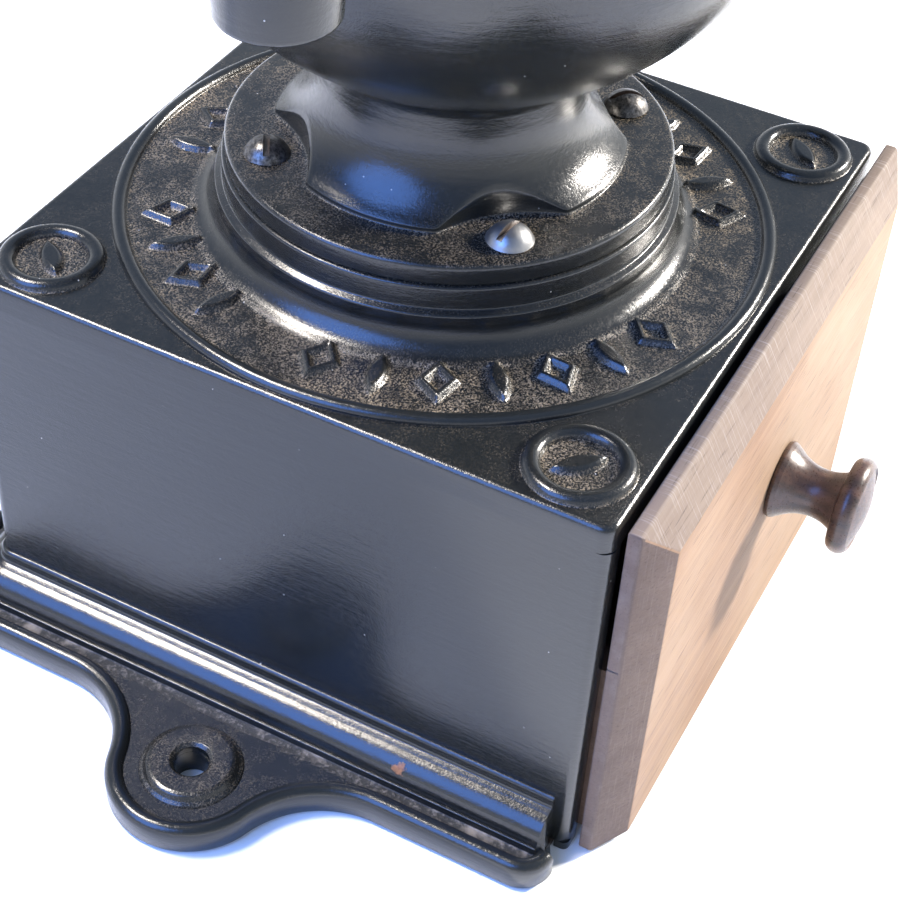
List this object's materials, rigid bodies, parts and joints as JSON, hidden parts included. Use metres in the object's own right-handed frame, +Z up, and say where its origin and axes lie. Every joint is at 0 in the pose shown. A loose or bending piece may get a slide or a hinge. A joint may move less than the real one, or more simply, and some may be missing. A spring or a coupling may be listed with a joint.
{
  "type": "hand crank coffee grinder",
  "caption": "Counter-top coffee mill with a square cast-iron box, sliding wooden drawer, ball hopper with a turning filler door, and a curved top crank.",
  "frame": {"origin": "on the ground under the mill, on the axis of the drive shaft", "axes": "+Z up along the drive shaft, -Y towards the drawer front, +X to the right of someone facing the drawer"},
  "size_m": [0.2241, 0.1833, 0.2912],
  "materials": {
    "black_iron": "black enamel over sand-cast iron, semi-gloss, dusty in the recesses",
    "screw_steel": "darkened steel, worn bright on the edges",
    "bright_steel": "machined steel, lightly oiled",
    "brass": "aged brass",
    "bare_walnut": "bare sanded walnut, sun-bleached and matt",
    "dark_turned_wood": "dark stained turned wood, satin polish"
  },
  "bodies": {
    "mill_frame": {"body_casting": "black_iron", "base_moulding": "black_iron", "bottom_plate": "screw_steel", "bottom_plate_screws": "screw_steel", "hopper_foot": "black_iron", "hopper_screws": "screw_steel", "hopper_bowl": "black_iron", "hopper_dome": "black_iron", "dome_screws": "screw_steel", "dome_collar": "black_iron", "upper_bridge": "black_iron", "upper_bridge_screws": "screw_steel", "upper_bushing": "brass", "burr_ring": "bright_steel", "burr_ring_pins": "screw_steel", "lower_bridge": "black_iron", "lower_bridge_screws": "screw_steel"},
    "thrust": {"thrust_cup": "brass"},
    "adjuster": {"adjusting_screw": "screw_steel"},
    "crank": {"drive_shaft": "bright_steel", "grinding_cone": "bright_steel", "cone_pin": "screw_steel", "crank_arm": "black_iron", "crank_washer": "screw_steel", "crank_nut": "screw_steel", "handle_spindle": "screw_steel"},
    "handle": {"crank_handle": "dark_turned_wood", "handle_ferrule": "brass"},
    "door": {"filler_door": "black_iron", "filler_door_knob": "brass"},
    "drawer": {"drawer_front": "bare_walnut", "drawer_left_side": "bare_walnut", "drawer_right_side": "bare_walnut", "drawer_back": "bare_walnut", "drawer_bottom": "bare_walnut", "drawer_nails": "screw_steel", "drawer_knob": "dark_turned_wood"}
  },
  "joints": [
    {"name": "shaft_lift", "type": "slide", "parent": "mill_frame", "child": "thrust", "axis": [0, 0, 1], "range_m": [0, 0.0011]},
    {"name": "adjuster_turn", "type": "hinge", "parent": "thrust", "child": "adjuster", "pos_m": [0, 0, 0.06], "axis": [0, 0, 1], "range_deg": [0, 315]},
    {"name": "crank_turn", "type": "hinge", "parent": "thrust", "child": "crank", "pos_m": [0, 0, 0.27], "axis": [0, 0, 1], "continuous": true},
    {"name": "handle_spin", "type": "hinge", "parent": "crank", "child": "handle", "pos_m": [-0.09879, -0.021, 0.22], "axis": [0, 0, 1], "continuous": true},
    {"name": "door_turn", "type": "hinge", "parent": "mill_frame", "child": "door", "pos_m": [0, 0, 0.257], "axis": [0, 0, 1], "range_deg": [0, 75]},
    {"name": "drawer_slide", "type": "slide", "parent": "mill_frame", "child": "drawer", "axis": [0, -1, 0], "range_m": [0, 0.105]}
  ],
  "couplings": [
    {"joint": "adjuster_turn", "follows": "shaft_lift", "rad_per_m": 4995}
  ]
}
